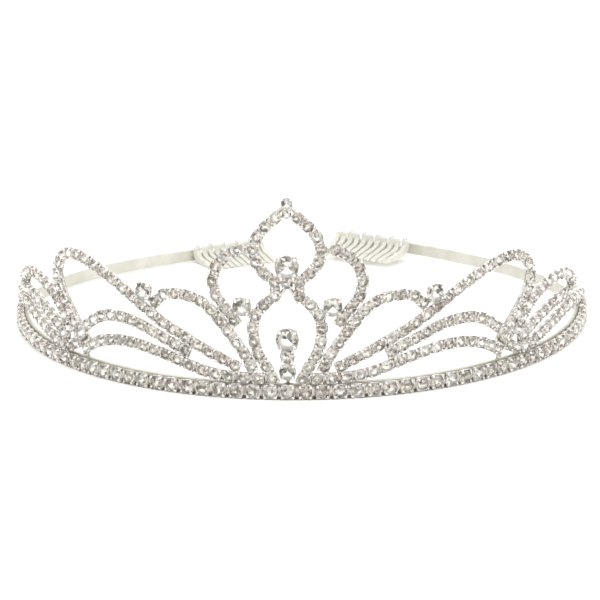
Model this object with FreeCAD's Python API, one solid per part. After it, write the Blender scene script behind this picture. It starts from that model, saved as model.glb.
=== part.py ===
import FreeCAD, Part
import math
import os

# Bridal tiara: a flat spring band carries a row of round crystals and bent wire
# scrolls set with smaller crystals, and a clear comb is lashed to the end of each arm.
# Millimetres. +Z is up, the front centre faces -Y, the wearer's left hand is at +X.
# The origin is on the table, at the middle of the box around the tiara.
# "Along" is the distance round the band from the front centre, plus to the +X side.
# "Out" is the distance outward from the band's outer face.

# ---- Driving dimensions -------------------------------------------------------
half_width = 70.2            # front centre line to the outer face of the band
front_depth = 80.6           # widest point of the band to its front centre
arm_end_x = 10.0             # where each arm stops, near the back centre
arm_end_y = 67.0
arm_side_pull = 20.0         # how far back each arm keeps going straight
arm_back_pull = (50.0, 48.0)
centre_shift = 8.38          # moves the widest point so that the origin is the box centre

band_thickness = 0.9
band_height = 3.6
arm_bottom = 0.4             # the arms are trimmed lower down, to clear the table
arm_length_end = 0.4         # the arm stops this far before the end of the plan curve
flex_along = 123.2           # where each arm starts to flex
flex_gap = 0.4
end_bent = {-1: (-3.2, -3.0), 1: (-3.2, 0.0)}   # how far each arm's end is bent off the mirrored plan
arm_rise = {-1: 0.0, 1: 1.9}                    # degrees that each arm climbs towards its end

wire_radius = 0.45
solder_gap = 0.02            # clearance kept between pieces that are soldered together

base_pitch = 3.9             # spacing of the band's crystals
base_each_side = 31
base_height = 1.84
base_diameter = 3.35
chain_pitch = 3.2            # spacing of the scroll crystals
chain_diameter = 2.8

comb_width = 22.2
comb_bottom = 1.6
comb_top = 4.4
comb_bar = 1.6
comb_corner = 1.2
tooth_count = 11
tooth_width = 1.25
tooth_reach = 11.6
lash_wire = 0.3
lash_width = 0.58
lash_gaps = (0, 2, 4, 6, 8)  # the gaps between teeth that a lashing passes through

# ---- Scrolls of the +X side, as (along, height) of the crystals' centre line --------
# The -X side mirrors them. "start" and "end" name what each end is soldered to.
waist = (-0.62, 25.75)
main_lower = [(3.4, 5.0), (3.9, 6.9), (5.3, 8.3), (6.7, 10.9), (7.7, 14.5), (7.7, 18.0), (6.3, 21.2), (2.75, 24.2)]
main_upper = [(2.75, 27.5), (5.0, 29.3), (6.95, 31.7), (7.75, 34.4), (7.1, 37.1), (5.3, 39.6),
              (3.75, 41.2), (2.45, 42.25)]
lobe = [(10.8, 34.75), (13.5, 33.5), (15.6, 31.4), (16.8, 28.9), (17.0, 26.2), (16.3, 23.9),
        (14.9, 21.9), (13.2, 20.0), (11.9, 18.3)]
inner_leaf = [(31.4, 20.8), (30.0, 22.6), (27.3, 23.3), (24.2, 23.4), (20.8, 22.8), (18.1, 21.2),
              (16.0, 18.9), (14.1, 16.5), (12.2, 14.1), (10.6, 12.0), (9.2, 9.8), (8.2, 7.7)]
large_leaf = [(11.9, 7.7), (14.6, 9.0), (18.0, 10.5), (22.6, 12.9), (28.4, 15.6), (34.0, 18.8),
              (39.6, 22.2), (44.6, 24.7), (49.4, 26.6), (54.2, 27.9), (58.6, 28.2), (62.4, 27.0),
              (65.2, 24.6), (66.2, 21.8), (65.4, 19.0), (63.3, 16.6), (60.4, 13.9), (57.9, 11.6),
              (55.3, 9.5)]
middle_leaf = [(23.6, 10.2), (27.6, 11.9), (31.0, 13.3), (34.6, 14.7), (39.0, 15.8), (44.4, 15.9),
               (48.9, 14.6), (53.0, 11.9)]
low_leaf = [(6.7, 5.0), (9.6, 5.0), (13.0, 5.05), (16.4, 5.4), (19.8, 6.1), (23.4, 7.2),
            (27.2, 8.4), (31.4, 9.4), (36.2, 10.2), (41.2, 10.4), (46.6, 9.5), (50.6, 8.0), (53.6, 6.2)]
side_leaf_over = [(60.7, 9.65), (62.6, 12.2), (64.9, 14.5), (67.8, 16.5), (71.6, 17.9), (76.0, 18.8),
                  (80.8, 19.0), (85.8, 18.1), (90.0, 16.2), (92.6, 14.0)]
side_leaf_under = [(89.7, 12.8), (84.6, 13.3), (78.8, 13.0), (73.8, 12.1), (69.6, 10.9), (66.0, 9.5),
                   (62.9, 7.9)]
side_scroll = [(57.2, 6.7), (59.9, 5.4), (63.2, 5.05), (66.8, 5.5), (71.0, 6.7), (76.4, 8.0),
               (83.0, 9.2), (90.0, 9.8), (97.0, 9.8), (103.0, 9.0), (107.8, 7.5), (111.2, 5.6)]

scrolls = {
    "main_arch": {
        "wire": [(3.3, 5.6)] + main_lower[2:-1] + [(4.2, 23.4), waist, (3.6, 28.1)]
                + main_upper[1:-1] + [(2.1, 43.0), (0.5, 44.7)],
        "runs": [main_lower, main_upper], "start": "band", "end": ""},
    "low_leaf": {
        "wire": [(5.1, 4.9)] + low_leaf[1:] + [(54.9, 5.1)],
        "runs": [low_leaf], "start": "band", "end": "band"},
    "large_leaf": {"wire": large_leaf, "runs": [large_leaf], "start": "low_leaf", "end": "low_leaf"},
    "inner_leaf": {"wire": inner_leaf, "runs": [inner_leaf], "start": "large_leaf", "end": "low_leaf"},
    "middle_leaf": {"wire": middle_leaf, "runs": [middle_leaf], "start": "large_leaf", "end": "large_leaf"},
    "lobe": {"wire": lobe, "runs": [lobe], "start": "main_arch", "end": "inner_leaf"},
    "side_scroll": {
        "wire": side_scroll[:-1] + [(112.4, 5.0)],
        "runs": [side_scroll], "start": "large_leaf", "end": "band"},
    "side_leaf": {
        "wire": side_leaf_over[:-1] + [(93.6, 13.2), (90.4, 12.4)] + side_leaf_under[1:],
        "runs": [side_leaf_over, side_leaf_under], "start": "side_scroll", "end": "side_scroll"},
}

# ---- Larger crystals in settings of their own: along, height, diameter, soldered to -----
centre_accents = [(0.0, 6.75, 3.7), (0.0, 10.3, 3.2), (0.0, 14.45, 5.0)]
upper_accents = [(0.0, 27.2, 2.6), (0.0, 31.2, 5.2)]
peak_accent = (0.0, 45.5, 2.5)
apex_accent = (0.0, 43.15, 2.1)      # soldered in front of the arch wires, under the peak
lobe_accent = (10.0, 21.7, 4.2)
leaf_accent = (34.2, 23.05, 4.0)
upper_post_bottom = 26.5

os.makedirs("parts", exist_ok=True)
up = FreeCAD.Vector(0, 0, 1)


def plan_table():
    """Length, x and y along the +X half of the band's outer face, from the front."""
    points = []
    steps = 360
    for i in range(steps + 1):
        angle = math.pi / 2 * i / steps
        points.append((half_width * math.sin(angle), -front_depth * math.cos(angle)))
    pull_x, pull_y = arm_back_pull
    for i in range(1, steps + 1):
        t = i / steps
        a, b, c, d = (1 - t) ** 3, 3 * t * (1 - t) ** 2, 3 * t * t * (1 - t), t ** 3
        x = a * half_width + b * half_width + c * pull_x + d * arm_end_x
        y = b * arm_side_pull + c * pull_y + d * arm_end_y
        points.append((x, y))
    table = [(0.0, points[0][0], points[0][1])]
    for (x0, y0), (x1, y1) in zip(points, points[1:]):
        table.append((table[-1][0] + math.hypot(x1 - x0, y1 - y0), x1, y1))
    return table


table = plan_table()
plan_length = table[-1][0]


def plan_xy(along):
    """Point of the outer face at this distance, mirrored for minus distances but for the arms' bends."""
    side = -1 if along < 0 else 1
    want = min(abs(along), plan_length)
    low, high = 0, len(table) - 1
    while high - low > 1:
        middle = (low + high) // 2
        if table[middle][0] <= want:
            low = middle
        else:
            high = middle
    share = (want - table[low][0]) / (table[high][0] - table[low][0])
    x = table[low][1] + share * (table[high][1] - table[low][1])
    y = table[low][2] + share * (table[high][2] - table[low][2])
    bent = max(0.0, (want - flex_along) / (plan_length - flex_along))
    bend_x, bend_y = end_bent[side]
    return side * x + bent * bend_x, y + bent * bend_y + centre_shift


def plan_frame(along):
    """Point, direction along the band and outward direction, all level."""
    x0, y0 = plan_xy(along - 0.4)
    x1, y1 = plan_xy(along + 0.4)
    tangent = FreeCAD.Vector(x1 - x0, y1 - y0, 0).normalize()
    outward = FreeCAD.Vector(tangent.y, -tangent.x, 0)
    x, y = plan_xy(along)
    return FreeCAD.Vector(x, y, 0), tangent, outward


def place(along, height, out):
    """Point at this distance round the band, height, and distance outward."""
    point, tangent, outward = plan_frame(along)
    return point + outward * out + up * height


def strip(start, end, out, thick, bottom, top):
    """Upright strip that follows the band, from one distance along it to another."""
    count = max(1, int(math.ceil(abs(end - start) / 6.0)))
    outer, inner = [], []
    for i in range(count):
        a = start + (end - start) * i / count
        b = start + (end - start) * (i + 1) / count
        m = (a + b) / 2
        outer.append(Part.Arc(place(a, bottom, out), place(m, bottom, out), place(b, bottom, out)))
        inner.append(Part.Arc(place(a, bottom, out - thick), place(m, bottom, out - thick),
                              place(b, bottom, out - thick)))
    first = Part.LineSegment(place(start, bottom, out - thick), place(start, bottom, out))
    last = Part.LineSegment(place(end, bottom, out), place(end, bottom, out - thick))
    edges = [first.toShape()] + [arc.toShape() for arc in outer]
    edges = edges + [last.toShape()] + [arc.toShape() for arc in reversed(inner)]
    face = Part.Face(Part.Wire(Part.__sortEdges__(edges)))
    return face.extrude(up * (top - bottom))


def rounded_route(corners):
    """Straight runs joined by tangent arcs, as one wire."""
    edges = []
    start = corners[0]
    for before, corner, after in zip(corners, corners[1:], corners[2:]):
        back = before - corner
        ahead = after - corner
        trim = 0.45 * min(back.Length, ahead.Length)
        back.normalize()
        ahead.normalize()
        half = back.getAngle(ahead) / 2
        middle = (back + ahead).normalize() * (trim / math.cos(half) - trim * math.tan(half))
        arc = Part.Arc(corner + back * trim, corner + middle, corner + ahead * trim)
        edges.append(Part.LineSegment(start, corner + back * trim).toShape())
        edges.append(arc.toShape())
        start = corner + ahead * trim
    edges.append(Part.LineSegment(start, corners[-1]).toShape())
    return Part.Wire(edges)


def bent_wire(route, radius):
    """Round wire bent along a route."""
    first = route.Edges[0]
    direction = first.tangentAt(first.FirstParameter)
    circle = Part.Circle(first.valueAt(first.FirstParameter), direction, radius)
    section = Part.Face(Part.Wire(circle.toShape()))
    return route.makePipe(section)


def faceted(levels):
    """Closed eight-sided solid through rings of (radius, height), lowest first."""
    rings = []
    for radius, height in levels:
        ring = []
        for k in range(8):
            angle = math.radians(22.5 + 45 * k)
            ring.append(FreeCAD.Vector(radius * math.cos(angle), radius * math.sin(angle), height))
        rings.append(ring)
    faces = []
    if levels[0][0] > 0:
        faces.append(Part.Face(Part.makePolygon(rings[0] + rings[0][:1])))
    for lower, upper, level in zip(rings, rings[1:], levels):
        for k in range(8):
            n = (k + 1) % 8
            if level[0] > 0:
                loop = [lower[k], lower[n], upper[n], upper[k], lower[k]]
            else:
                loop = [lower[0], upper[n], upper[k], lower[0]]
            faces.append(Part.Face(Part.makePolygon(loop)))
    faces.append(Part.Face(Part.makePolygon(rings[-1] + rings[-1][:1])))
    solid = Part.Solid(Part.Shell(faces))
    if solid.Volume < 0:
        solid.reverse()
    return solid


def make_crystal(diameter):
    """Round brilliant: point, pavilion, crown and table. Its cup's back is at 0."""
    f = diameter / 2.6
    return faceted([(0.0, 0.30 * f), (1.105 * f, 1.07 * f), (0.62 * f, 1.44 * f)])


def make_cup(diameter):
    """Pressed metal cup with four claws bent over the crystal."""
    f = diameter / 2.6
    cup = faceted([(0.95 * f, 0.0), (1.30 * f, 1.0 * f)])
    seat = faceted([(0.05 * f, 0.28 * f), (1.16 * f, 1.05 * f)])
    cup = cup.cut(seat)
    half = 0.22 * f
    profile = [(1.08, 0.62), (1.42, 0.62), (1.42, 1.2), (0.94, 1.46), (1.08, 1.12), (1.08, 0.62)]
    loop = [FreeCAD.Vector(r * f, -half, h * f) for r, h in profile]
    claw = Part.Face(Part.makePolygon(loop)).extrude(FreeCAD.Vector(0, 2 * half, 0))
    for k in range(4):
        turned = claw.copy()
        turned.rotate(FreeCAD.Vector(0, 0, 0), up, 45 + 90 * k)
        cup = cup.fuse(turned)
    return cup.Solids[0]


def seated(shape, point, tangent, outward):
    """Copy of a shape whose back lies on the band's outer surface at a point."""
    across = outward.cross(tangent)
    turn = FreeCAD.Rotation(tangent, across, outward, "ZXY")
    copy = shape.copy()
    copy.Placement = FreeCAD.Placement(point, turn)
    return copy


def nearest(point, route):
    """Point of a route closest to a given point."""
    return Part.Vertex(point).distToShape(route)[1][0][1]


def wire_point(side, pair):
    return place(side * pair[0], pair[1], -wire_radius - 0.01)


def outward_at(point):
    """Outward direction of the band next to a point."""
    best, chosen = 1e9, 0.0
    side = -1.0 if point.x < 0 else 1.0
    for length, x, y in table:
        gap = math.hypot(abs(point.x) - x, point.y - y - centre_shift)
        if gap < best:
            best, chosen = gap, length
    return plan_frame(side * chosen)[2]


def raised(shape, side):
    """The shape tilted with its arm, which climbs from where it joins the front band."""
    foot = place(side * flex_along, 0.0, 0.0)
    shape.rotate(foot, FreeCAD.Vector(1, 0, 0), arm_rise[side])
    return shape


def export(shape, name):
    good = shape.isValid() and all(solid.Volume > 0 for solid in shape.Solids)
    print(name, "solids", len(shape.Solids), "volume %.2f" % shape.Volume, "valid", good)
    shape.exportStep("parts/" + name + ".step")


# ---- Band, its arms and its row of crystals ---------------------------------------
front_end = flex_along - flex_gap / 2
arm_start = flex_along + flex_gap / 2
arm_stop = plan_length - arm_length_end
export(strip(-front_end, front_end, 0.0, band_thickness, 0.0, band_height), "front_band")
for side, name in ((-1, "left"), (1, "right")):
    arm = strip(side * arm_start, side * arm_stop, 0.0, band_thickness, arm_bottom, band_height)
    export(raised(arm, side), name + "_band_arm")

base_cup = make_cup(base_diameter)
base_crystal = make_crystal(base_diameter)
cups, crystals = [], []
for k in range(-base_each_side, base_each_side + 1):
    point, tangent, outward = plan_frame(k * base_pitch)
    point = point + up * base_height + outward * solder_gap
    cups.append(seated(base_cup, point, tangent, outward))
    crystals.append(seated(base_crystal, point, tangent, outward))
export(Part.makeCompound(cups), "base_row_cups")
export(Part.makeCompound(crystals), "base_row_crystals")

# ---- Scrolls: a bent wire, the cups soldered on its front, and their crystals ----------
chain_cup = make_cup(chain_diameter)
chain_crystal = make_crystal(chain_diameter)
routes = {}
for side, side_name in ((-1, "left"), (1, "right")):
    for name, scroll in scrolls.items():
        corners = [wire_point(side, pair) for pair in scroll["wire"]]
        for end, pair, at_start in (("start", scroll["wire"][0], True), ("end", scroll["wire"][-1], False)):
            target = scroll[end]
            if target == "":
                continue
            if target == "band":
                foot = wire_point(side, (pair[0], band_height + solder_gap))
            else:
                corner = corners[0] if at_start else corners[-1]
                touch = nearest(corner, routes[(side, target)])
                foot = touch + (corner - touch).normalize() * (wire_radius + solder_gap)
            corners = [foot] + corners if at_start else corners + [foot]
        route = rounded_route(corners)
        routes[(side, name)] = route
        export(bent_wire(route, wire_radius), side_name + "_" + name + "_wire")
        cups, crystals = [], []
        for run in scroll["runs"]:
            line = rounded_route([wire_point(side, pair) for pair in run])
            count = int(round(line.Length / chain_pitch)) + 1
            points = line.discretize(Number=count)
            for i, point in enumerate(points):
                outward = outward_at(point)
                along = points[min(i + 1, count - 1)] - points[max(i - 1, 0)]
                along = (along - outward * along.dot(outward)).normalize()
                seat = point + outward * (wire_radius + 0.01 + solder_gap)
                cups.append(seated(chain_cup, seat, along, outward))
                crystals.append(seated(chain_crystal, seat, along, outward))
        export(Part.makeCompound(cups), side_name + "_" + name + "_cups")
        export(Part.makeCompound(crystals), side_name + "_" + name + "_crystals")

# ---- Larger crystals, each in its own cup on a short wire post --------------------------
post_radius = 0.4
post_out = 0.07 - post_radius    # the post sinks a little into the back of each cup
root_out = 0.08                  # a side post starts inside its cup


def rod(start, end):
    return Part.makeCylinder(post_radius, (end - start).Length, start, end - start)


def accent_seat(along, height, lift=solder_gap):
    """Seat of a cup whose back stands this far out from the band's outer face."""
    point, tangent, outward = plan_frame(along)
    return point + up * height + outward * lift, tangent, outward


def accent_cup(along, height, diameter):
    return seated(make_cup(diameter), *accent_seat(along, height))


settings, crystals = [], []
lower_post = rod(place(0, band_height + solder_gap, post_out), place(0, centre_accents[-1][1], post_out))
for along, height, diameter in centre_accents:
    lower_post = lower_post.fuse(accent_cup(along, height, diameter))
settings.append(lower_post.removeSplitter())
upper_post = rod(place(0, upper_post_bottom, post_out), place(0, upper_accents[-1][1], post_out))
for along, height, diameter in upper_accents:
    upper_post = upper_post.fuse(accent_cup(along, height, diameter))
settings.append(upper_post.removeSplitter())
settings.append(accent_cup(*peak_accent))
apex_along, apex_height, apex_diameter = apex_accent
apex_seat = accent_seat(apex_along, apex_height, wire_radius + 0.01 + solder_gap)
settings.append(seated(make_cup(apex_diameter), *apex_seat))
crystals.append(seated(make_crystal(apex_diameter), *apex_seat))
singles = centre_accents + upper_accents + [peak_accent]
for side in (-1, 1):
    for (along, height, diameter), target in ((lobe_accent, "lobe"), (leaf_accent, "large_leaf")):
        level = wire_point(side, (along, height))
        touch = nearest(level, routes[(side, target)])
        end = touch + (level - touch).normalize() * (wire_radius + 0.12)
        post = rod(place(side * along, height, root_out), end)
        post = post.fuse(accent_cup(side * along, height, diameter))
        settings.append(post.removeSplitter())
        singles.append((side * along, height, diameter))
for along, height, diameter in singles:
    crystals.append(seated(make_crystal(diameter), *accent_seat(along, height)))
export(Part.makeCompound([solid for item in settings for solid in item.Solids]), "accent_settings")
export(Part.makeCompound(crystals), "accent_crystals")

# ---- Combs and the wire that lashes them to the arms -----------------------------------
comb_out = -band_thickness - solder_gap
tip = tooth_reach - 0.3
tooth_pitch = (comb_width - tooth_width) / (tooth_count - 1)
for side, side_name in ((-1, "left"), (1, "right")):
    back_end = arm_stop - 0.6
    near_end = back_end - comb_width
    comb = strip(side * near_end, side * back_end, comb_out, comb_bar, comb_bottom, comb_top)
    corners = [edge for edge in comb.Edges if abs(edge.Length - comb_bar) < 0.01]
    comb = comb.makeFillet(comb_corner, corners)
    for k in range(tooth_count):
        along = side * (near_end + tooth_width / 2 + k * tooth_pitch)
        point, tangent, outward = plan_frame(along)
        corner = point + outward * comb_out - tangent * (tooth_width / 2)

        def at(inward, height):
            return corner - outward * inward + up * height

        edges = [
            Part.Arc(at(0.08, 2.6), at(1.5, 1.05), at(4.1, 0.35)).toShape(),
            Part.LineSegment(at(4.1, 0.35), at(tip, 0.2)).toShape(),
            Part.Arc(at(tip, 0.2), at(tooth_reach, 0.46), at(tip, 0.72)).toShape(),
            Part.LineSegment(at(tip, 0.72), at(4.6, 1.75)).toShape(),
            Part.Arc(at(4.6, 1.75), at(2.8, 2.3), at(comb_bar - 0.05, 3.5)).toShape(),
            Part.LineSegment(at(comb_bar - 0.05, 3.5), at(0.08, 3.5)).toShape(),
            Part.LineSegment(at(0.08, 3.5), at(0.08, 2.6)).toShape(),
        ]
        tooth = Part.Face(Part.Wire(edges)).extrude(tangent * tooth_width)
        comb = comb.fuse(tooth)
    export(raised(comb.removeSplitter(), side), side_name + "_comb")

    loops = []
    for k in lash_gaps:
        along = side * (near_end + tooth_width / 2 + (k + 0.5) * tooth_pitch)
        point, tangent, outward = plan_frame(along)
        inside = (comb_out - comb_bar - 0.06, 0.05, arm_bottom - 0.03, comb_top + 0.03)
        outside = (inside[0] - lash_wire, inside[1] + lash_wire, inside[2] - lash_wire, inside[3] + lash_wire)
        blocks = []
        for near, far, low, high in (inside, outside):
            corners = [(near, low), (far, low), (far, high), (near, high), (near, low)]
            loop = [point - tangent * (lash_width / 2) + outward * o + up * h for o, h in corners]
            blocks.append(Part.Face(Part.makePolygon(loop)).extrude(tangent * lash_width))
        loops.append(blocks[1].cut(blocks[0]))
    turns = Part.makeCompound([solid for loop in loops for solid in loop.Solids])
    export(raised(turns, side), side_name + "_comb_lashings")
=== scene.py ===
import math

import bmesh
import bpy
from mathutils import Matrix, Vector


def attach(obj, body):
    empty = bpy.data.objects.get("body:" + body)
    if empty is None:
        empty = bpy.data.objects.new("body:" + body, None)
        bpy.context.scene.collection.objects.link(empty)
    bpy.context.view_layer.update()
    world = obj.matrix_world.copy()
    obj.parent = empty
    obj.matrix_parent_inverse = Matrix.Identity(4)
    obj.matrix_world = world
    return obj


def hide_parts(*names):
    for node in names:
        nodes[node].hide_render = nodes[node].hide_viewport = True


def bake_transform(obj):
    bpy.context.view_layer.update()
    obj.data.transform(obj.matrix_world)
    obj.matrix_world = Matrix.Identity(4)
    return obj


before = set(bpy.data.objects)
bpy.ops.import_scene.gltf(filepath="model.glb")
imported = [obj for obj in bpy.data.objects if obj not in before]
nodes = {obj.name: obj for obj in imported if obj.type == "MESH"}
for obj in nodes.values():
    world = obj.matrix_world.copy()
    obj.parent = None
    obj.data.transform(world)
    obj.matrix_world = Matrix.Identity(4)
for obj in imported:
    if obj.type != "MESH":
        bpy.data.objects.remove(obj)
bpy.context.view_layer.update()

MM = 0.001

# ---- The band's plan, as in the CAD model, in millimetres -----------------------------
# The front is half an ellipse. Each arm is a cubic curve from the ellipse's end to the arm's end.
HALF_WIDTH = 70.2
FRONT_DEPTH = 80.6
ARM_END = (10.0, 67.0)
ARM_SIDE_PULL = 20.0                     # y of its first control point, straight behind its start
ARM_BACK_PULL = (50.0, 48.0)             # its second control point
PLAN_STEPS = 360                         # pieces that each of the two curves is measured in
CENTRE_SHIFT = 8.38                      # moves the plan back, so that the object is centred
BAND_THICK = 0.9
BAND_TOP = 3.6
ARM_BOTTOM = 0.4                         # the arms' lower edge; the front's is at 0
ARM_TRIM = 0.4                           # each arm stops this far before the curve's end
FLEX_ALONG = 123.2                       # distance of an arm's joint from the front, round the band
END_BENT = {-1: (-3.2, -3.0), 1: (-3.2, 0.0)}   # how far the bend moves each arm's end, in x and y
ARM_RISE = {-1: 0.0, 1: 1.9}             # how steeply each arm climbs, in degrees
DIRECTION_STEP = 0.4                     # the band's direction is measured this far to both sides
COMB_WIDTH = 22.2
COMB_TOP = 4.4
COMB_GAP = 0.02                          # between an arm and its comb
COMB_THICK = 1.6
COMB_BACK = BAND_THICK + COMB_GAP + COMB_THICK   # inner face of the comb, in from the band's outer face
TOOTH_COUNT = 11
TOOTH_WIDTH = 1.25
LASH_GAPS = (0, 2, 4, 6, 8)              # the gaps between teeth that are lashed
CUP_SIZE = 2.6                           # the cup that the shapes below are drawn for
SIDES = ((-1, "left"), (1, "right"))


def plan_table():
    """Length, x and y along the +X half of the band's outer face, from the front."""
    points = []
    for i in range(PLAN_STEPS + 1):
        angle = math.pi / 2 * i / PLAN_STEPS
        points.append((HALF_WIDTH * math.sin(angle), -FRONT_DEPTH * math.cos(angle)))
    for i in range(1, PLAN_STEPS + 1):
        t = i / PLAN_STEPS
        a, b, c, d = (1 - t) ** 3, 3 * t * (1 - t) ** 2, 3 * t * t * (1 - t), t ** 3
        x = (a + b) * HALF_WIDTH + c * ARM_BACK_PULL[0] + d * ARM_END[0]
        y = b * ARM_SIDE_PULL + c * ARM_BACK_PULL[1] + d * ARM_END[1]
        points.append((x, y))
    table = [(0.0, points[0][0], points[0][1])]
    for (x0, y0), (x1, y1) in zip(points, points[1:]):
        table.append((table[-1][0] + math.hypot(x1 - x0, y1 - y0), x1, y1))
    return table


table = plan_table()
plan_length = table[-1][0]
arm_stop = plan_length - ARM_TRIM


def plan_xy(along):
    """Place on the band's outer face, in millimetres, at this distance round it; minus is the -X side."""
    side = -1 if along < 0 else 1
    want = min(abs(along), plan_length)
    low, high = 0, len(table) - 1
    while high - low > 1:
        middle = (low + high) // 2
        if table[middle][0] <= want:
            low = middle
        else:
            high = middle
    share = (want - table[low][0]) / (table[high][0] - table[low][0])
    x = table[low][1] + share * (table[high][1] - table[low][1])
    y = table[low][2] + share * (table[high][2] - table[low][2])
    bent = max(0.0, (want - FLEX_ALONG) / (plan_length - FLEX_ALONG))
    bend_x, bend_y = END_BENT[side]
    return side * x + bent * bend_x, y + bent * bend_y + CENTRE_SHIFT


def place(along, height, out):
    """Point in metres at this distance round the band, height and distance outward, in millimetres."""
    x0, y0 = plan_xy(along - DIRECTION_STEP)
    x1, y1 = plan_xy(along + DIRECTION_STEP)
    outward = Vector((y1 - y0, x0 - x1, 0.0)).normalized()
    x, y = plan_xy(along)
    point = Vector((x, y, height)) + outward * out
    side = -1 if along < 0 else 1
    foot_y = plan_xy(side * FLEX_ALONG)[1]
    if y > foot_y:
        rise = math.radians(ARM_RISE[side])
        back, lift = point.y - foot_y, point.z
        point.y = foot_y + back * math.cos(rise) - lift * math.sin(rise)
        point.z = back * math.sin(rise) + lift * math.cos(rise)
    return point * MM


# ---- Small helpers ------------------------------------------------------------------------
def mesh_object(name, verts, faces, materials, slots=None, smooth=None):
    """New object from lists of corners and faces."""
    mesh = bpy.data.meshes.new(name)
    mesh.from_pydata(verts, [], faces)
    for material in materials:
        mesh.materials.append(material)
    if slots:
        mesh.polygons.foreach_set("material_index", slots)
    if smooth:
        mesh.polygons.foreach_set("use_smooth", smooth)
    mesh.update()
    obj = bpy.data.objects.new(name, mesh)
    bpy.context.scene.collection.objects.link(obj)
    return obj


def add_tube(verts, faces, rings, closed=False):
    """Skin over rings of equal count; the ends are capped unless the tube is closed."""
    start, count = len(verts), len(rings[0])
    for ring_points in rings:
        verts.extend(ring_points)
    last = len(rings) if closed else len(rings) - 1
    for j in range(last):
        here, ahead = start + j * count, start + (j + 1) % len(rings) * count
        for k in range(count):
            n = (k + 1) % count
            faces.append((here + k, here + n, ahead + n, ahead + k))
    if not closed:
        faces.append(tuple(range(start + count - 1, start - 1, -1)))
        faces.append(tuple(range(start + (len(rings) - 1) * count, start + len(rings) * count)))


def circle(centre, one_way, other_way, radius, sides):
    """Ring of points round a centre, in the plane of two directions."""
    angles = [2 * math.pi * k / sides for k in range(sides)]
    return [centre + (one_way * math.cos(a) + other_way * math.sin(a)) * radius for a in angles]


def new_material(name):
    """Material, its node tree and its main shader."""
    material = bpy.data.materials.new(name)
    material.use_nodes = True
    return material, material.node_tree, material.node_tree.nodes["Principled BSDF"]


def add_noise(tree, scale, detail=2.0, rough=0.5):
    """Smooth noise in the object's own space; scale is in waves per metre."""
    coord = tree.nodes.new("ShaderNodeTexCoord")
    noise = tree.nodes.new("ShaderNodeTexNoise")
    noise.inputs["Scale"].default_value = scale
    noise.inputs["Detail"].default_value = detail
    noise.inputs["Roughness"].default_value = rough
    tree.links.new(coord.outputs["Object"], noise.inputs["Vector"])
    return noise.outputs["Fac"]


def add_cells(tree, scale):
    """Even random value from one small cell of space to the next."""
    coord = tree.nodes.new("ShaderNodeTexCoord")
    cells = tree.nodes.new("ShaderNodeTexVoronoi")
    cells.inputs["Scale"].default_value = scale
    split = tree.nodes.new("ShaderNodeSeparateColor")
    tree.links.new(coord.outputs["Object"], cells.inputs["Vector"])
    tree.links.new(cells.outputs["Color"], split.inputs["Color"])
    return split.outputs["Red"]


def add_ramp(tree, source, stops, steps=False):
    """Colours that follow a value, blended or in steps."""
    ramp = tree.nodes.new("ShaderNodeValToRGB")
    if steps:
        ramp.color_ramp.interpolation = "CONSTANT"
    while len(ramp.color_ramp.elements) < len(stops):
        ramp.color_ramp.elements.new(0.5)
    for element, (position, color) in zip(ramp.color_ramp.elements, stops):
        element.position = position
        element.color = (*color, 1.0)
    tree.links.new(source, ramp.inputs["Fac"])
    return ramp.outputs["Color"]


def add_range(tree, source, low, high):
    """A value from 0 to 1, spread from low to high."""
    scale = tree.nodes.new("ShaderNodeMapRange")
    scale.inputs["To Min"].default_value = low
    scale.inputs["To Max"].default_value = high
    tree.links.new(source, scale.inputs["Value"])
    return scale.outputs["Result"]


def add_bump(tree, shader, source, strength, distance):
    """Raise and lower the surface's shading by a value, over a distance in metres."""
    bump = tree.nodes.new("ShaderNodeBump")
    bump.inputs["Strength"].default_value = strength
    bump.inputs["Distance"].default_value = distance
    tree.links.new(source, bump.inputs["Height"])
    tree.links.new(bump.outputs["Normal"], shader.inputs["Normal"])


BRUSH_FINENESS = 4.0          # the brush marks, beside the dull patches
BRUSH_STRENGTH = 0.12
BRUSH_DEPTH = 0.04 * MM


def plated_metal(name, bright, dull, rough, wear_scale):
    """Silver plate with faint handling marks, duller patches and slightly uneven gloss."""
    material, tree, shader = new_material(name)
    shader.inputs["Metallic"].default_value = 1.0
    wear = add_noise(tree, wear_scale, detail=4.0, rough=0.6)
    tree.links.new(add_ramp(tree, wear, [(0.38, dull), (0.6, bright)]), shader.inputs["Base Color"])
    tree.links.new(add_range(tree, wear, rough[0], rough[1]), shader.inputs["Roughness"])
    add_bump(tree, shader, add_noise(tree, wear_scale * BRUSH_FINENESS), BRUSH_STRENGTH, BRUSH_DEPTH)
    return material


band_metal = plated_metal("band_plate", bright=(0.68, 0.67, 0.61), dull=(0.61, 0.60, 0.54),
                          rough=(0.46, 0.60), wear_scale=260.0)
wire_metal = plated_metal("wire_plate", bright=(0.66, 0.64, 0.60), dull=(0.45, 0.42, 0.38),
                          rough=(0.20, 0.32), wear_scale=900.0)
cup_metal = plated_metal("cup_plate", bright=(0.90, 0.88, 0.84), dull=(0.42, 0.38, 0.35),
                         rough=(0.26, 0.40), wear_scale=1500.0)
# The links between cups: the cups' plating painted darker, painted shade on the links that sit low between
# the cups.
link_metal_painted_shade = plated_metal("link_plate_painted_shade", bright=(0.66, 0.63, 0.59), dull=(0.26, 0.24, 0.22),
                          rough=(0.24, 0.36), wear_scale=1500.0)
lash_metal = plated_metal("lashing_plate", bright=(0.97, 0.97, 0.95), dull=(0.86, 0.86, 0.84),
                          rough=(0.12, 0.22), wear_scale=1200.0)

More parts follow.
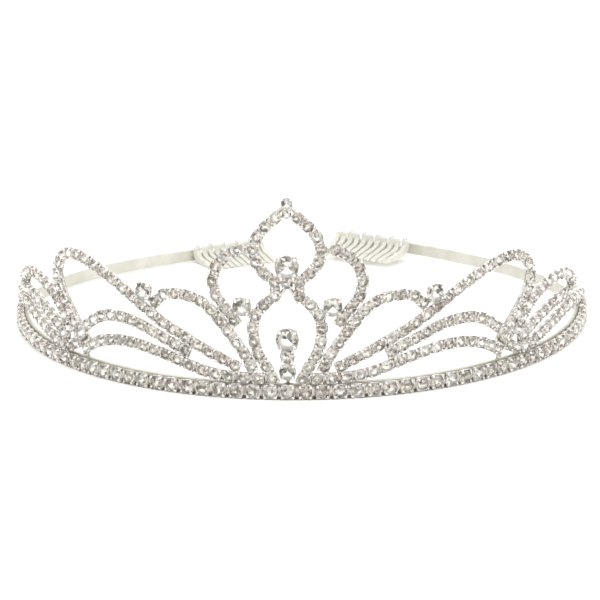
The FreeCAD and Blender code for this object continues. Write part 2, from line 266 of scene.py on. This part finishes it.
# Cut glass: clear, slightly uneven in tint from stone to stone.
crystal_glass, tree, shader = new_material("crystal_glass")
shader.inputs["Transmission Weight"].default_value = 1.0
shader.inputs["Roughness"].default_value = 0.0
shader.inputs["IOR"].default_value = 1.5
tint = add_ramp(tree, add_noise(tree, 320.0, detail=1.0), [
    (0.3, (1.0, 0.97, 0.95)), (0.5, (1.0, 1.0, 1.0)), (0.7, (0.96, 0.99, 0.97))])
tree.links.new(tint, shader.inputs["Base Color"])


def foil_with_painted_reflections(name, cell_scale, stops):
    """Silvered back of the cut glass, with painted reflections: each small patch is painted its own tone,
    from dark to white, for the room's light and dark seen in the facets.
    """
    material, tree, shader = new_material(name)
    shader.inputs["Metallic"].default_value = 1.0
    shader.inputs["Roughness"].default_value = 0.35
    painted_reflection_tones = add_ramp(tree, add_cells(tree, cell_scale), stops, steps=True)
    tree.links.new(painted_reflection_tones, shader.inputs["Base Color"])
    return material


# Each tone starts at a share of the patches, and the tones are painted reflections. Small crystals have
# one set near the rim and a set of darker painted reflections in the centre.
painted_reflection_foil = foil_with_painted_reflections("crystal_foil_painted_reflections", 1900.0, [
    (0.0, (0.34, 0.29, 0.26)), (0.18, (0.58, 0.53, 0.48)), (0.36, (0.84, 0.83, 0.76)),
    (0.50, (0.97, 0.95, 0.92)), (0.64, (1.0, 1.0, 0.99))])
dark_core_painted_reflection_foil = foil_with_painted_reflections("crystal_core_painted_dark_reflections", 1900.0, [
    (0.0, (0.33, 0.29, 0.26)), (0.22, (0.52, 0.48, 0.44)), (0.46, (0.76, 0.74, 0.68)),
    (0.66, (0.96, 0.93, 0.90)), (0.82, (1.0, 1.0, 0.99))])
large_painted_reflection_foil = foil_with_painted_reflections("large_crystal_foil_painted_reflections", 1500.0, [
    (0.0, (0.16, 0.16, 0.13)), (0.22, (0.30, 0.30, 0.26)), (0.44, (0.55, 0.54, 0.49)),
    (0.62, (0.82, 0.80, 0.75)), (0.78, (1.0, 1.0, 0.98))])

# Painted highlight: the part of a large crystal's back that is painted near white, as if it gave the light
# straight back to someone in front.
painted_highlight_foil, tree, shader = new_material("crystal_painted_highlight_foil")
shader.inputs["Metallic"].default_value = 1.0
shader.inputs["Roughness"].default_value = 0.3
painted_highlight_tone = add_ramp(tree, add_noise(tree, 700.0, detail=1.0), [
    (0.4, (0.96, 0.95, 0.93)), (0.6, (1.0, 1.0, 1.0))])
tree.links.new(painted_highlight_tone, shader.inputs["Base Color"])

# Clear moulded plastic, hazed by use.
comb_plastic, tree, shader = new_material("comb_plastic")
shader.inputs["Transmission Weight"].default_value = 0.4
shader.inputs["IOR"].default_value = 1.49
haze = add_noise(tree, 500.0, detail=3.0, rough=0.6)
tree.links.new(add_ramp(tree, haze, [(0.3, (0.77, 0.76, 0.70)), (0.7, (0.83, 0.82, 0.76))]),
               shader.inputs["Base Color"])
tree.links.new(add_range(tree, haze, 0.6, 0.8), shader.inputs["Roughness"])


# ---- Reading the crystals' places from the CAD solids ---------------------------------
WELD = 1e-6                   # corners of a CAD mesh nearer than this, in metres, are one corner
CAD_POINT = 0.30              # height of a crystal's back point in its cup, for a 2.6 mm cup
CAD_REACH = 1.347             # distance from that point to the crystal's widest corner


def separate_solids(node):
    """Corners of each solid of a CAD node, in the order of its mesh."""
    work = bmesh.new()
    work.from_mesh(nodes[node].data)
    bmesh.ops.remove_doubles(work, verts=work.verts, dist=WELD)
    solids, seen = [], set()
    for vert in work.verts:
        if vert in seen:
            continue
        stack, corners = [vert], []
        seen.add(vert)
        while stack:
            here = stack.pop()
            corners.append(here.co.copy())
            for edge in here.link_edges:
                other = edge.other_vert(here)
                if other not in seen:
                    seen.add(other)
                    stack.append(other)
        solids.append(corners)
    work.free()
    return solids


def crystal_seats(node):
    """For each crystal: back of its cup, outward direction, direction along its row, and scale."""
    seats = []
    for corners in separate_solids(node):
        alone = [min((p - q).length for q in corners if q is not p) for p in corners]
        point = corners[alone.index(max(alone))]
        outward = sum(corners, Vector()) / len(corners) - point
        outward.z = 0.0
        outward.normalize()
        f = max((q - point).length for q in corners) / MM / CAD_REACH
        seats.append((point - outward * CAD_POINT * f * MM, outward, f))
    found = []
    for i, (back, outward, f) in enumerate(seats):
        along = seats[min(i + 1, len(seats) - 1)][0] - seats[max(i - 1, 0)][0]
        along = along - outward * along.dot(outward)
        found.append((back, outward, along.normalized(), f))
    return found


# ---- Crystals and cups, drawn for a 2.6 mm cup whose back is at 0 --------------------------
def ring(radius, height, count, turn=0.0, square=2.0):
    """Ring of points: round, or nearer to a square as its power goes up from 2."""
    points = []
    for k in range(count):
        angle = math.radians(turn) + 2 * math.pi * k / count
        c, s = math.cos(angle), math.sin(angle)
        reach = radius / (abs(c) ** square + abs(s) ** square) ** (1 / square)
        points.append(Vector((reach * c, reach * s, height)))
    return points


# A cut is its rings: distance from the axis, height, number of corners and turn in degrees.
SMALL_CUT = ((0.52, 1.50, 8, 22.5), (0.92, 1.37, 8, 0), (1.22, 1.12, 16, 11.25), (1.22, 1.07, 16, 11.25),
             (0.66, 0.66, 8, 22.5), (0.02, 0.30, 3, 0))
LARGE_CUT = ((0.56, 1.60, 8, 22.5), (0.88, 1.50, 16, 0), (1.10, 1.34, 16, 11.25), (1.25, 1.13, 16, 0),
             (1.25, 1.07, 16, 0), (0.98, 0.86, 16, 11.25), (0.52, 0.56, 8, 0), (0.02, 0.30, 3, 0))
GIRDLE = 1.09                 # crystals are glass above this height and silvered below it
ONE_FACET = 0.01              # faces that differ by less than this angle, in radians, are one facet
CORE = 0.6                    # of a small crystal: how far its darker painted reflections reach from the axis
HIGHLIGHT_WINDOW = (0.62, -1.05, -0.30)   # of a large crystal's painted highlight: half its width, its lowest and its highest point
FRONT, BACK, PAINTED_LIGHT_BACK = 0, 1, 2     # a crystal's material slots


def crystal_shape(cut, core=0.0, highlight_window=()):
    """Faceted stone: the flat facets that wrap the rings of its cut.

    Back facets nearer to the axis than core, or inside the highlight's patch, get a material of their own:
    darker painted reflections in a small crystal's centre, a painted highlight on a large crystal.
    """
    work = bmesh.new()
    for radius, height, count, turn in cut:
        for point in ring(radius, height, count, turn):
            work.verts.new(point)
    bmesh.ops.convex_hull(work, input=work.verts)
    bmesh.ops.dissolve_limit(work, angle_limit=ONE_FACET, verts=work.verts, edges=work.edges)
    work.verts.index_update()
    verts = [v.co.copy() for v in work.verts]
    faces = [tuple(v.index for v in face.verts) for face in work.faces]
    slots = []
    for face in work.faces:
        centre = face.calc_center_median()
        painted_light_facet = math.hypot(centre.x, centre.y) < core
        if highlight_window:
            half_width, lowest, highest = highlight_window
            painted_light_facet = painted_light_facet or (abs(centre.x) < half_width and lowest < centre.y < highest)
        if centre.z > GIRDLE:
            slots.append(FRONT)
        else:
            slots.append(PAINTED_LIGHT_BACK if painted_light_facet else BACK)
    work.free()
    return verts, faces, slots, [False] * len(faces)


# A cup is its rings: distance from the axis, height and power of the ring's shape (2 is round).
CUP_PROFILE = ((0.80, 0.00, 2.5), (1.00, 0.04, 3.0), (1.14, 0.30, 4.0), (1.25, 0.75, 4.5),
               (1.30, 1.00, 4.5), (1.27, 1.09, 4.0), (1.20, 1.06, 2.3), (0.30, 0.22, 2.0))
CUP_SIDES = 24
# Claw stations: distance from the axis, height, half its width, half its thickness.
CLAW_PATH = ((1.40, 0.50, 0.26, 0.05), (1.54, 0.80, 0.29, 0.09), (1.56, 1.08, 0.30, 0.12),
             (1.49, 1.32, 0.28, 0.14), (1.32, 1.48, 0.24, 0.13), (1.13, 1.53, 0.19, 0.09),
             (1.02, 1.50, 0.12, 0.04))
CLAW_COUNT = 4
CLAW_SIDES = 8


def cup_shape(claw_reach=1.0, rounder=0.0):
    """Pressed square cup with a rolled rim, and a claw at each corner that laps over the crystal.

    Its rings are round where rounder is 1, and the claws are made smaller by claw_reach.
    """
    verts, faces = [], []
    rings = []
    for radius, height, square in CUP_PROFILE:
        rings.append(ring(radius, height, CUP_SIDES, square=square + (2.0 - square) * rounder))
    add_tube(verts, faces, rings)
    smooth = [True] * (len(faces) - 2) + [False, False]      # the two flat ends come last
    for quarter in range(CLAW_COUNT):
        turn = Matrix.Rotation(math.radians(360 / CLAW_COUNT * (quarter + 0.5)), 3, "Z")
        rings = []
        for i, (radius, height, half, thick) in enumerate(CLAW_PATH):
            before = CLAW_PATH[max(i - 1, 0)]
            after = CLAW_PATH[min(i + 1, len(CLAW_PATH) - 1)]
            rise = Vector((after[0] - before[0], 0, after[1] - before[1])).normalized()
            out = Vector((rise.z, 0, -rise.x))
            points = []
            for k in range(CLAW_SIDES):
                angle = 2 * math.pi * k / CLAW_SIDES
                offset = out * (thick * math.cos(angle)) + Vector((0, half * math.sin(angle), 0))
                points.append(turn @ (Vector((radius * claw_reach, 0, height)) + offset * claw_reach))
            rings.append(points)
        add_tube(verts, faces, rings)
    smooth += [True] * (len(faces) - len(smooth))
    return verts, faces, [0] * len(faces), smooth


# Links between neighbouring cups: flat bars of oval section.
LINK_SPAN = 1.6 * CUP_SIZE    # cups further apart than this aren't neighbours in a chain
LINK_START = 1.1              # a link's end, from the axis of its cup
LINK_HEIGHT = 0.66            # its middle, above the backs of the cups
LINK_HALF_WIDTH = 1.15
LINK_HALF_THICK = 0.44
LINK_SIDES = 8


def link_rings(seat, next_seat):
    """The two end rings of the link from one cup to the next, or none if they are too far apart."""
    (back_a, out_a), f = seat[:2], seat[3]
    back_b, out_b = next_seat[:2]
    gap = back_b - back_a
    if gap.length > LINK_SPAN * MM * f:
        return []
    direction = gap.normalized()
    out = (out_a + out_b).normalized()
    side = out.cross(direction)
    rings = []
    for centre in (back_a + direction * LINK_START * f * MM, back_b - direction * LINK_START * f * MM):
        middle = centre + out * LINK_HEIGHT * f * MM
        points = []
        for k in range(LINK_SIDES):
            angle = 2 * math.pi * (k + 0.5) / LINK_SIDES
            offset = side * (LINK_HALF_WIDTH * math.cos(angle)) + out * (LINK_HALF_THICK * math.sin(angle))
            points.append(middle + offset * (f * MM))
        rings.append(points)
    return rings


def set_rows(name, seats, shape, materials, linked=False):
    """One object with a copy of the shape at every seat.

    Neighbouring cups can have links between them, in the second material.
    """
    verts, faces, slots, smooth = [], [], [], []
    shape_verts, shape_faces, shape_slots, shape_smooth = shape
    for back, outward, along, f in seats:
        across = outward.cross(along)
        start = len(verts)
        for v in shape_verts:
            verts.append(back + (along * v.x + across * v.y + outward * v.z) * (f * MM))
        faces += [tuple(start + i for i in face) for face in shape_faces]
        slots += shape_slots
        smooth += shape_smooth
    if linked:
        for seat, next_seat in zip(seats, seats[1:]):
            rings = link_rings(seat, next_seat)
            if rings:
                add_tube(verts, faces, rings)
    slots += [1] * (len(faces) - len(slots))
    smooth += [True] * (len(faces) - len(smooth))
    obj = mesh_object(name, verts, faces, materials, slots, smooth)
    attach(obj, "crown")
    return obj


small_crystal = crystal_shape(SMALL_CUT, core=CORE)
large_crystal = crystal_shape(LARGE_CUT, highlight_window=HIGHLIGHT_WINDOW)
cup = cup_shape()
round_cup = cup_shape(claw_reach=0.88, rounder=1.0)
SCROLLS = ("main_arch", "lobe", "inner_leaf", "large_leaf", "middle_leaf", "low_leaf", "side_leaf",
           "side_scroll")
rows = ["base_row"] + [side + "_" + name for side in ("left", "right") for name in SCROLLS]
for row in rows:
    seats = crystal_seats(row + "_crystals")
    stones = set_rows(row + "_cut_crystals", seats, small_crystal, [crystal_glass, painted_reflection_foil, dark_core_painted_reflection_foil])
    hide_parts(row + "_crystals")
    cups = set_rows(row + "_claw_cups", seats, cup, [cup_metal, link_metal_painted_shade], linked=True)
    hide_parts(row + "_cups")

ACCENT_PROUD = 1.08           # the large crystals and their rims, beside their plain CAD cups
upright_seats = [(back, outward, Vector((-outward.y, outward.x, 0.0)), f * ACCENT_PROUD)
                 for back, outward, along, f in crystal_seats("accent_crystals")]
stones = set_rows("accent_cut_crystals", upright_seats, large_crystal,
                  [crystal_glass, large_painted_reflection_foil, painted_highlight_foil])
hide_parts("accent_crystals")
cups = set_rows("accent_claw_cups", upright_seats, round_cup, [cup_metal])
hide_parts("accent_settings")

# ---- Wire posts that hold the accent cups ------------------------------------------------
POST_RADIUS = 0.4
POST_SINK = 0.33              # an upright post's centre line, behind the backs of its cups
ROOT_SINK = -0.06             # a side post starts inside its cup
BEHIND = 0.15                 # CAD corners further behind a cup's back than this are its post's
FOOT_REACH = 2.1              # corners within this many post radii of the furthest one are the foot
POST_RINGS = ((0.7, 0.0), (1.0, 0.04), (1.0, 0.97), (0.7, 1.0))   # share of the radius, of the length
POST_SIDES = 12
settings = separate_solids("accent_settings")
held = [[] for corners in settings]
for seat in upright_seats:
    gaps = [min((corner - seat[0]).length for corner in corners) for corners in settings]
    held[gaps.index(min(gaps))].append(seat)
verts, faces = [], []
for corners, seats in zip(settings, held):
    back, outward = max(seats, key=lambda seat: seat[0].z)[:2]
    behind = [c for c in corners if (c - back).dot(outward) < -BEHIND * MM]
    if not behind:
        continue
    far = max(behind, key=lambda c: (c - back).length)
    foot_ring = [c for c in behind if (c - far).length < FOOT_REACH * POST_RADIUS * MM]
    foot = sum(foot_ring, Vector()) / len(foot_ring)
    holds_stack = len(seats) > 1
    top = back - outward * (POST_SINK if holds_stack else ROOT_SINK) * MM
    if holds_stack:
        foot = Vector((top.x, top.y, foot.z))
    axis = (foot - top).normalized()
    across = axis.orthogonal().normalized()
    rings = []
    for radius, share in POST_RINGS:
        centre = top + (foot - top) * share
        rings.append(circle(centre, across, axis.cross(across), radius * POST_RADIUS * MM, POST_SIDES))
    add_tube(verts, faces, rings)
posts = mesh_object("accent_posts", verts, faces, [wire_metal], smooth=[True] * len(faces))
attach(posts, "crown")

# ---- The spring band: each half is one strip that bends where its arm flexes ---------------
BAND_EDGE = 0.26              # rounding of the band's long edges
TIP_ROUND = 1.3               # rounding of an arm's end
TIP_SHRINK = TIP_ROUND - 0.1  # how far an arm's outline draws in at its very end
TIP_TURNS = (10, 30, 50, 70, 90)      # where that rounding has cross-sections, in degrees round it
STATION = 1.5                 # spacing of the strip's cross-sections
FRONT_START = 0.001           # keeps each half's first cross-section on its own side
NARROWING = 4.0               # length over which the front's height becomes an arm's
CORNER_POINTS = 4             # points of a rounded corner
CORNER_STEP = 30              # angle between them
BEND_START = 1.5              # a point on the strip this far before the arm's joint
BEND_LENGTH = 20.0            # and another this far after it
MID_HEIGHT = (ARM_BOTTOM + BAND_TOP) / 2


def band_section(along, shrink):
    """Rounded cross-section of the band at a distance along it, drawn in by shrink."""
    share = min(1.0, max(0.0, (abs(along) - FLEX_ALONG + NARROWING / 2) / NARROWING))
    bottom = ARM_BOTTOM * share + shrink
    top = BAND_TOP - shrink
    corners = ((-BAND_EDGE, top - BAND_EDGE, 0), (BAND_EDGE - BAND_THICK, top - BAND_EDGE, 90),
               (BAND_EDGE - BAND_THICK, bottom + BAND_EDGE, 180), (-BAND_EDGE, bottom + BAND_EDGE, 270))
    points = []
    for out, height, turn in corners:
        for step in range(CORNER_POINTS):
            angle = math.radians(turn + CORNER_STEP * step)
            points.append(place(along, height + BAND_EDGE * math.sin(angle),
                                out + BAND_EDGE * math.cos(angle)))
    return points


for side, name in SIDES:
    stations = [STATION * i for i in range(int((arm_stop - TIP_ROUND) / STATION) + 1)]
    stations += [arm_stop - TIP_ROUND * (1 - math.sin(math.radians(a))) for a in TIP_TURNS]
    rings = []
    for along in stations:
        into = max(0.0, along - arm_stop + TIP_ROUND)
        shrink = TIP_ROUND - math.sqrt(TIP_ROUND ** 2 - min(into, TIP_ROUND) ** 2)
        rings.append(band_section(side * max(along, FRONT_START), min(shrink, TIP_SHRINK)))
    if side > 0:
        rings = [points[::-1] for points in rings]       # so that the skin faces outward here too
    verts, faces = [], []
    add_tube(verts, faces, rings)
    half = mesh_object(name + "_band_half", verts, faces, [band_metal], smooth=[True] * len(faces))
    half.modifiers.new("even_shading", "WEIGHTED_NORMAL")
    start = place(side * (FLEX_ALONG - BEND_START), MID_HEIGHT, -BAND_THICK / 2)
    end = place(side * (FLEX_ALONG + BEND_LENGTH), MID_HEIGHT, -BAND_THICK / 2)
    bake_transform(half)
    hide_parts("front_band", name + "_band_arm")

# ---- Lashings: two turns of fine wire at each place round an arm and its comb --------------
LASH_WIRE = 0.14              # the wire's radius
LASH_CLEAR = 0.20             # centre of the wire, out from the pieces that it holds
LASH_ROUND = 0.45             # rounding of a turn's corners
LASH_SIDES = 8
TURN_APART = 1.02             # from the middle of a lashing to each of its turns, in wire radii
COMB_STOP = 0.6               # the comb ends this far before its arm does
comb_start = arm_stop - COMB_STOP - COMB_WIDTH
tooth_pitch = (COMB_WIDTH - TOOTH_WIDTH) / (TOOTH_COUNT - 1)


def lash_turn(along):
    """Centre line of one turn: a rounded rectangle round the band and the comb's back."""
    low, high = ARM_BOTTOM - LASH_CLEAR, COMB_TOP + LASH_CLEAR
    near, far = LASH_CLEAR, -COMB_BACK - LASH_CLEAR
    corners = ((near, high, -1, -1, 0), (far, high, 1, -1, 90),
               (far, low, 1, 1, 180), (near, low, -1, 1, 270))
    points = []
    for out, height, inward, upward, turn in corners:
        for step in range(CORNER_POINTS):
            angle = math.radians(turn + CORNER_STEP * step)
            points.append(place(along, height + LASH_ROUND * (upward + math.sin(angle)),
                                out + LASH_ROUND * (inward + math.cos(angle))))
    return points


for side, name in SIDES:
    verts, faces = [], []
    for gap in LASH_GAPS:
        middle = comb_start + TOOTH_WIDTH / 2 + (gap + 0.5) * tooth_pitch
        for turn in (-1, 1):
            line = lash_turn(side * (middle + turn * TURN_APART * LASH_WIRE))
            centre = sum(line, Vector()) / len(line)
            ahead = place(side * (middle + 0.5), MID_HEIGHT, 0.0)
            behind = place(side * (middle - 0.5), MID_HEIGHT, 0.0)
            across = (ahead - behind).normalized()
            rings = []
            for point in line:
                away = point - centre
                away = (away - across * away.dot(across)).normalized()
                rings.append(circle(point, away, across, LASH_WIRE * MM, LASH_SIDES))
            add_tube(verts, faces, rings, closed=True)
    turns = mesh_object(name + "_lashing_turns", verts, faces, [lash_metal], smooth=[True] * len(faces))
    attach(turns, name + "_arm")
    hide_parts(name + "_comb_lashings")


# ---- Materials of the pieces kept from the CAD ------------------------------------------
def paint(node, material):
    """Give a CAD node's mesh this one material."""
    mesh = nodes[node].data
    mesh.materials.clear()
    mesh.materials.append(material)


for side in ("left", "right"):
    for name in SCROLLS:
        paint(side + "_" + name + "_wire", wire_metal)
    paint(side + "_comb", comb_plastic)

# ---- Floor, light and camera -----------------------------------------------------------
floor_material, tree, shader = new_material("studio_floor")
shader.inputs["Roughness"].default_value = 0.9
shader.inputs["Specular IOR Level"].default_value = 0.0
grain = add_ramp(tree, add_noise(tree, 30.0), [(0.0, (0.93, 0.93, 0.93)), (1.0, (0.95, 0.95, 0.95))])
tree.links.new(grain, shader.inputs["Base Color"])
FLOOR_SIZE = 8.0
bpy.ops.mesh.primitive_plane_add(size=FLOOR_SIZE, location=(0, 0, 0))
floor = bpy.context.object
floor.name = "studio_floor"
floor.data.materials.append(floor_material)

# The room that the piece reflects has light and dark patches. The camera itself sees plain white.
ROOM_STRENGTH = 1.3
scene = bpy.context.scene
world = bpy.data.worlds.new("studio_world")
scene.world = world
world.use_nodes = True
tree = world.node_tree
background = tree.nodes["Background"]
coord = tree.nodes.new("ShaderNodeTexCoord")
patches = tree.nodes.new("ShaderNodeTexNoise")
patches.inputs["Scale"].default_value = 3.0
patches.inputs["Detail"].default_value = 1.5
tree.links.new(coord.outputs["Generated"], patches.inputs["Vector"])
room = add_ramp(tree, patches.outputs["Fac"], [
    (0.38, (0.10, 0.09, 0.08)), (0.45, (0.40, 0.38, 0.35)), (0.50, (0.90, 0.89, 0.87)),
    (0.56, (0.95, 0.95, 0.94)), (0.61, (0.22, 0.22, 0.19)), (0.68, (0.9, 0.9, 0.9))])
tree.links.new(room, background.inputs["Color"])
background.inputs["Strength"].default_value = ROOM_STRENGTH
plain = tree.nodes.new("ShaderNodeBackground")
plain.inputs["Color"].default_value = (1, 1, 1, 1)
path = tree.nodes.new("ShaderNodeLightPath")
mix = tree.nodes.new("ShaderNodeMixShader")
tree.links.new(path.outputs["Is Camera Ray"], mix.inputs["Fac"])
tree.links.new(background.outputs["Background"], mix.inputs[1])
tree.links.new(plain.outputs["Background"], mix.inputs[2])
tree.links.new(mix.outputs["Shader"], tree.nodes["World Output"].inputs["Surface"])


LIT_POINT = Vector((0, 0, 0.02))      # all the softboxes face this point


def soft_light(name, place_at, size, power):
    """Round softbox that faces the piece: where it stands and its width in metres, power in watts."""
    data = bpy.data.lights.new(name, "AREA")
    data.shape = "DISK"
    data.size = size
    data.energy = power
    lamp = bpy.data.objects.new(name, data)
    lamp.location = place_at
    lamp.rotation_euler = (LIT_POINT - Vector(place_at)).to_track_quat("-Z", "Y").to_euler()
    scene.collection.objects.link(lamp)


soft_light("key_softbox", (-0.6, -0.9, 1.1), size=2.2, power=18.0)
soft_light("fill_softbox", (0.9, -0.7, 0.9), size=1.8, power=11.0)
soft_light("rear_softbox", (0.1, 1.0, 1.1), size=2.2, power=13.0)

# The camera looks a little down on the front, from slightly to the viewer's right.
ELEVATION = math.radians(13.18)
TURN = math.radians(2.36)
ROLL = math.radians(-0.31)
DISTANCE = 0.7
LENS = 165.2
SENSOR = 36.0
NEAREST_SEEN = 0.01
LOOK_AT = Vector((0.0, CENTRE_SHIFT * MM, 0.015))   # the point that the camera stands round
AIM_LOWER = 0.01185                                 # it is pointed this far below that point
AIM_LEFT = 0.00048                                  # and this far to its left
back = Vector((math.sin(TURN) * math.cos(ELEVATION),
               -math.cos(TURN) * math.cos(ELEVATION),
               math.sin(ELEVATION)))
level = Vector((math.cos(TURN), math.sin(TURN), 0.0))
upright = back.cross(level)
camera_right = level * math.cos(ROLL) + upright * math.sin(ROLL)
camera_up = upright * math.cos(ROLL) - level * math.sin(ROLL)
eye = LOOK_AT + back * DISTANCE
aim = LOOK_AT - camera_right * AIM_LEFT - camera_up * AIM_LOWER
back = (eye - aim).normalized()
camera_right = (camera_right - back * camera_right.dot(back)).normalized()
camera_up = back.cross(camera_right)
data = bpy.data.cameras.new("photo_camera")
data.lens = LENS
data.sensor_width = SENSOR
data.clip_start = NEAREST_SEEN
camera = bpy.data.objects.new("photo_camera", data)
camera.matrix_world = Matrix((
    (camera_right.x, camera_up.x, back.x, eye.x),
    (camera_right.y, camera_up.y, back.y, eye.y),
    (camera_right.z, camera_up.z, back.z, eye.z),
    (0, 0, 0, 1)))
scene.collection.objects.link(camera)
scene.camera = camera
scene.view_settings.view_transform = "Standard"
scene.view_settings.exposure = 0.0
